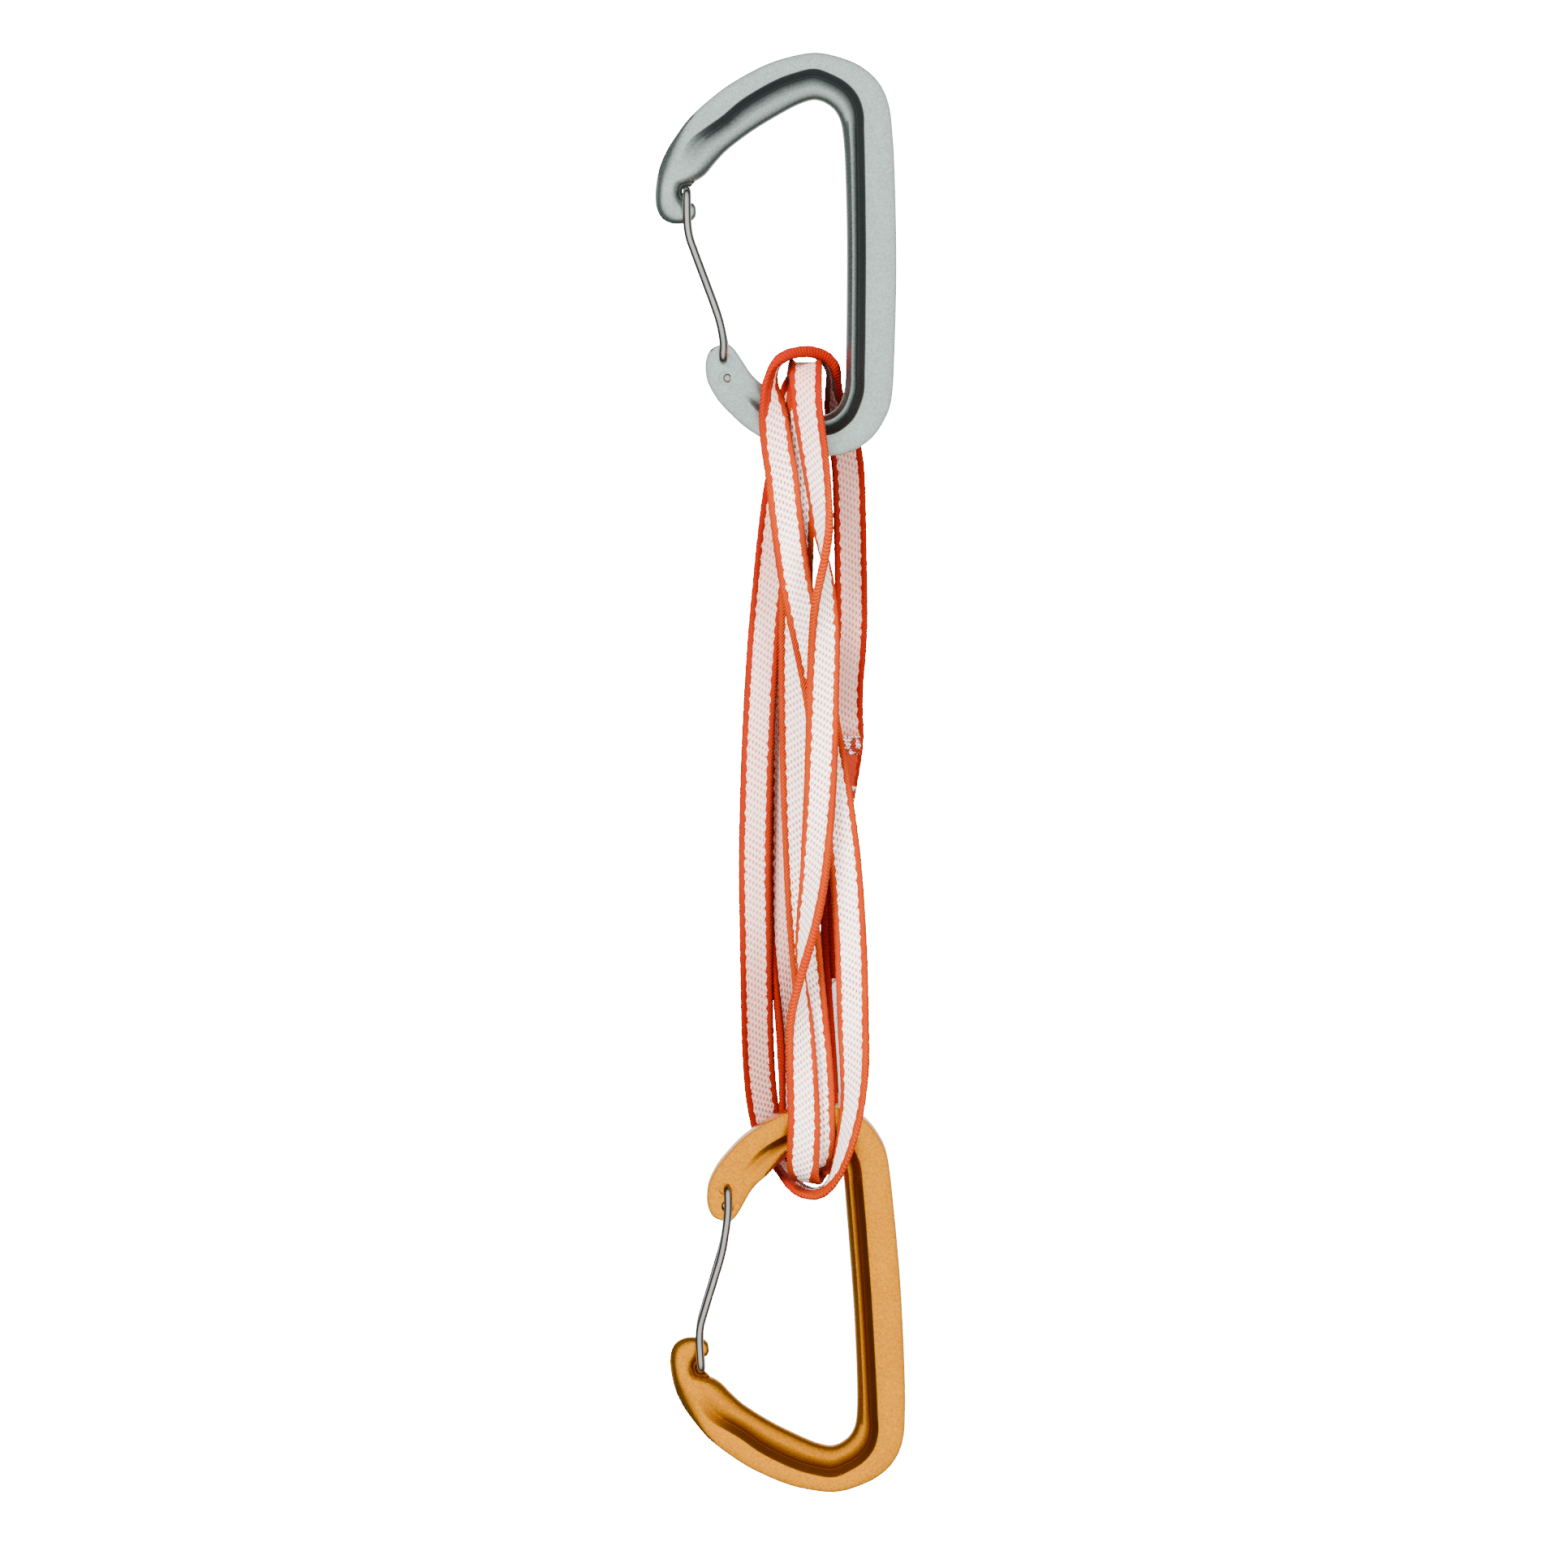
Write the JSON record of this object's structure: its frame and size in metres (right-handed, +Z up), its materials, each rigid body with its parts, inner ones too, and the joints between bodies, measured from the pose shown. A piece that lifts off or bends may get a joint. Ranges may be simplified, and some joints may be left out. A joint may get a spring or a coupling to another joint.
{
  "type": "climbing quickdraw",
  "caption": "Climbing quickdraw: grey and gold wiregate carabiners joined by a tripled orange and white sewn webbing sling, with sprung wire gates and swinging joints.",
  "frame": {"origin": "the point inside the top carabiner's rope basket that the draw hangs from, on the carabiner's mid plane", "axes": "+Z up along the hanging draw, +X towards the spines, so the gates face -X, and +Y to the rear across the carabiners' thickness"},
  "size_m": [0.0607, 0.0293, 0.3502],
  "materials": {
    "grey_alloy": "satin anodised",
    "gold_alloy": "satin gold anodised",
    "gate_steel": "drawn stainless wire",
    "webbing": "woven, cream body with orange edges",
    "stitching": "dense thread",
    "label": "smooth woven label"
  },
  "bodies": {
    "top_frame": {"top_carabiner_frame": "grey_alloy"},
    "top_gate": {"top_wire_gate": "gate_steel"},
    "sling_upper": {"sling_top_outer_bight": "webbing", "sling_top_centre_bight": "webbing", "sling_top_inner_bight": "webbing"},
    "sling_lower": {"sling_bottom_sewn_bight": "webbing", "sling_bottom_inner_bight": "webbing", "sling_bottom_outer_bight": "webbing", "sling_overlap_tail": "webbing", "bar_tack_1": "stitching", "bar_tack_2": "stitching", "bar_tack_3": "stitching", "bar_tack_4": "stitching", "sling_label": "label"},
    "bottom_frame": {"bottom_carabiner_frame": "gold_alloy"},
    "bottom_gate": {"bottom_wire_gate": "gate_steel"}
  },
  "joints": [
    {"name": "top_gate_hinge", "type": "hinge", "parent": "top_frame", "child": "top_gate", "pos_m": [-0.0211, 0, -0.064], "axis": [0, 1, 0], "range_deg": [0, 36], "stiffness_Nm_per_rad": 0.15, "springref_deg": -20.05},
    {"name": "sling_swing", "type": "hinge", "parent": "top_frame", "child": "sling_upper", "pos_m": [0, 0, -0.078], "axis": [1, 0, 0], "range_deg": [-28, 25]},
    {"name": "sling_twist", "type": "hinge", "parent": "sling_upper", "child": "sling_lower", "pos_m": [0, 0, -0.14], "axis": [0, 0, 1], "range_deg": [-110, 110], "stiffness_Nm_per_rad": 0.0006},
    {"name": "bottom_carabiner_swing", "type": "hinge", "parent": "sling_lower", "child": "bottom_frame", "pos_m": [0, 0, -0.2496], "axis": [1, 0, 0], "range_deg": [-28, 28]},
    {"name": "bottom_gate_hinge", "type": "hinge", "parent": "bottom_frame", "child": "bottom_gate", "pos_m": [-0.02111, 0, -0.26553], "axis": [0, -1, 0], "range_deg": [0, 36], "stiffness_Nm_per_rad": 0.15, "springref_deg": -20.05}
  ]
}
